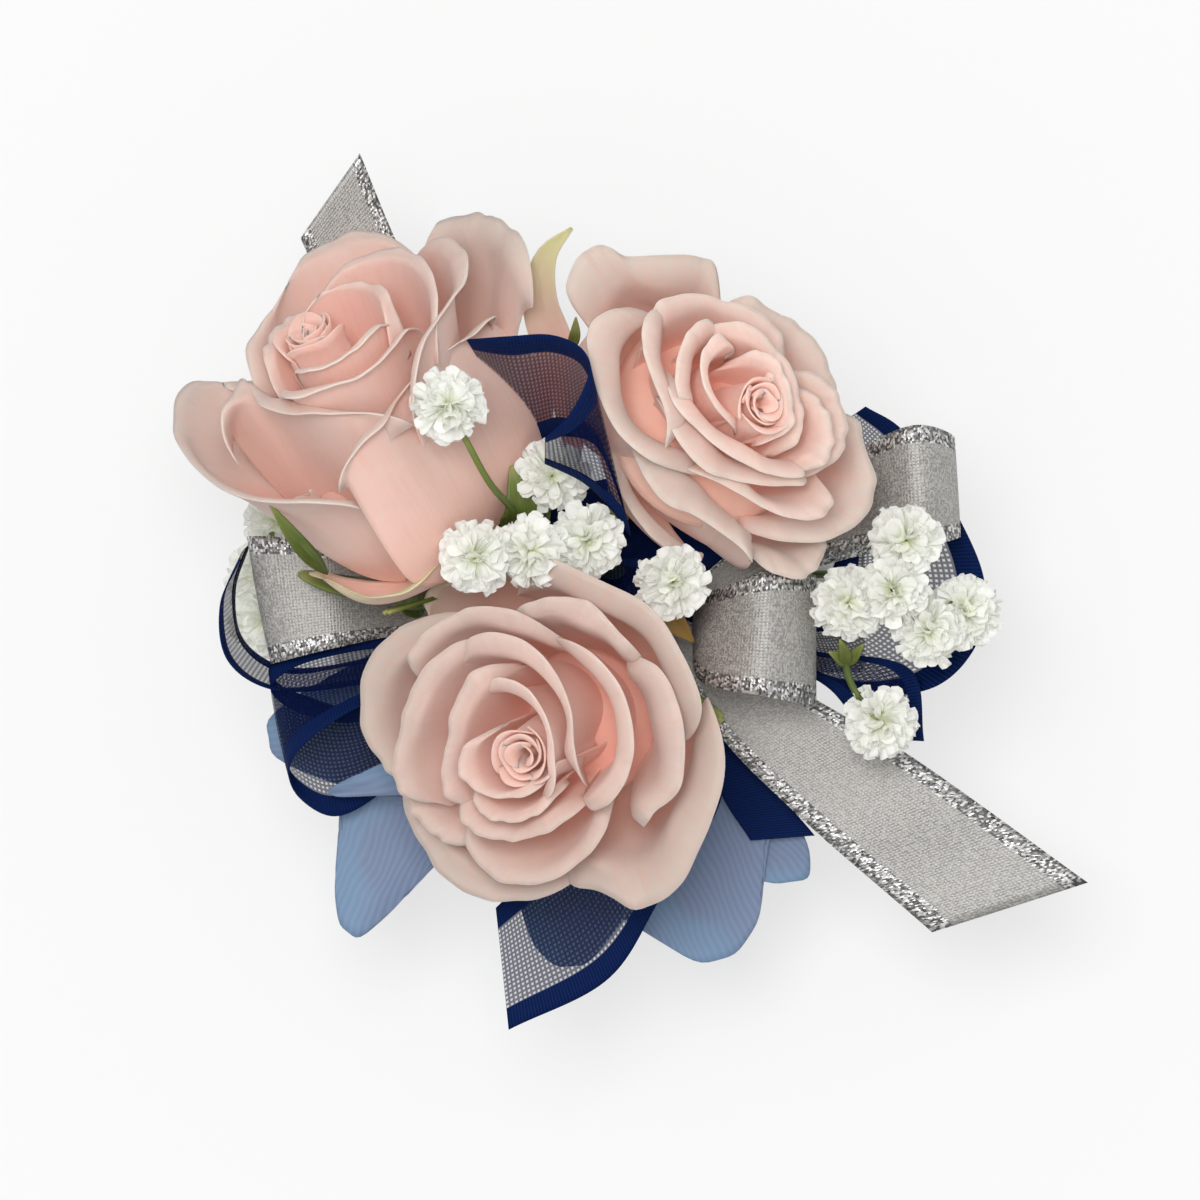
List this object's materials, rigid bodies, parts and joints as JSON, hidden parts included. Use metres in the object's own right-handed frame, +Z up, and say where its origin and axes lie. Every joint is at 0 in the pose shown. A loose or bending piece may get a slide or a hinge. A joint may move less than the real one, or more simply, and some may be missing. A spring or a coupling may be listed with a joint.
{
  "type": "wrist corsage",
  "caption": "Wrist corsage: a spray of blush roses, baby's breath, silver and navy ribbon and blue silk petals on an elastic wristlet that stretches over the hand.",
  "frame": {"origin": "Centre of the flat underside of the elastic band, where the corsage stands.", "axes": "+Z is up out of the flowers, +X is to the right in the picture, which looks straight down, and +Y is its top. The wrist goes through along Y."},
  "size_m": [0.1187, 0.1131, 0.0887],
  "materials": {
    "rose_petal": "matte",
    "rose_heart": "matte",
    "leaf": "matte",
    "silver_ribbon": "satin",
    "navy_ribbon": "satin",
    "blue_silk": "matte",
    "babys_breath": "matte",
    "floral_tape": "matte",
    "knot": "satin",
    "steel": "satin",
    "elastic": "matte"
  },
  "bodies": {
    "spray": {"rose_left_stem": "leaf", "rose_left_heart": "rose_heart", "rose_left_petal_1": "rose_petal", "rose_left_petal_2": "rose_petal", "rose_left_petal_3": "rose_petal", "rose_left_petal_4": "rose_petal", "rose_left_petal_5": "rose_petal", "rose_left_petal_6": "rose_petal", "rose_left_petal_7": "rose_petal", "rose_right_stem": "leaf", "rose_right_heart": "rose_heart", "rose_right_petal_1": "rose_petal", "rose_right_petal_2": "rose_petal", "rose_right_petal_3": "rose_petal", "rose_right_petal_4": "rose_petal", "rose_right_petal_5": "rose_petal", "rose_right_petal_6": "rose_petal", "rose_right_petal_7": "rose_petal", "rose_front_stem": "leaf", "rose_front_heart": "rose_heart", "rose_front_petal_1": "rose_petal", "rose_front_petal_2": "rose_petal", "rose_front_petal_3": "rose_petal", "rose_front_petal_4": "rose_petal", "rose_front_petal_5": "rose_petal", "rose_front_petal_6": "rose_petal", "rose_front_petal_7": "rose_petal", "silver_loop_left": "silver_ribbon", "silver_loop_centre": "silver_ribbon", "silver_loop_right": "silver_ribbon", "navy_loop_upper": "navy_ribbon", "navy_loop_far_left": "navy_ribbon", "navy_loop_left_low": "navy_ribbon", "navy_tail_low_right": "navy_ribbon", "navy_loop_right": "navy_ribbon", "navy_tail_right": "navy_ribbon", "navy_bow_middle": "navy_ribbon", "silk_petal_left_upper": "blue_silk", "silk_petal_left": "blue_silk", "silk_petal_bottom": "blue_silk", "silk_petal_right": "blue_silk", "silk_petal_right_upper": "blue_silk", "sprig_upper": "babys_breath", "sprig_centre": "babys_breath", "sprig_middle": "babys_breath", "sprig_left": "babys_breath", "sprig_right": "babys_breath", "stem_wrap": "floral_tape", "bow_knot": "knot", "clamp_plate": "steel", "band_top": "elastic", "band_left": "elastic", "band_right": "elastic"},
    "band_underside": {"band_lower": "elastic"},
    "long_silver_tail": {"silver_tail_long": "silver_ribbon"},
    "top_silver_tail": {"silver_tail_top": "silver_ribbon"},
    "bottom_navy_tail": {"navy_tail_bottom": "navy_ribbon"},
    "low_sprig": {"sprig_right_low": "babys_breath"}
  },
  "joints": [
    {"name": "band_stretch", "type": "slide", "parent": "spray", "child": "band_underside", "axis": [0, 0, -1], "range_m": [0, 0.016], "stiffness_N_per_m": 200, "deforming": ["band_left", "band_right"]},
    {"name": "long_silver_tail_flex", "type": "hinge", "parent": "spray", "child": "long_silver_tail", "pos_m": [0.01011, -0.00627, 0.0423], "axis": [-0.6432, -0.7657, 0], "range_deg": [-8, 10], "stiffness_Nm_per_rad": 0.004},
    {"name": "top_silver_tail_flex", "type": "hinge", "parent": "spray", "child": "top_silver_tail", "pos_m": [0.00038, 0.00051, 0.0394], "axis": [0.8127, 0.5827, 0], "range_deg": [-6, 5], "stiffness_Nm_per_rad": 0.004},
    {"name": "bottom_navy_tail_flex", "type": "hinge", "parent": "spray", "child": "bottom_navy_tail", "pos_m": [0.00666, -0.00589, 0.0385], "axis": [-0.9185, 0.3955, 0], "range_deg": [-5, 6], "stiffness_Nm_per_rad": 0.004},
    {"name": "low_sprig_sway", "type": "hinge", "parent": "spray", "child": "low_sprig", "pos_m": [0.03098, -0.0073, 0.0537], "axis": [-0.9031, -0.4295, 0], "range_deg": [-12, 12], "stiffness_Nm_per_rad": 0.003}
  ]
}
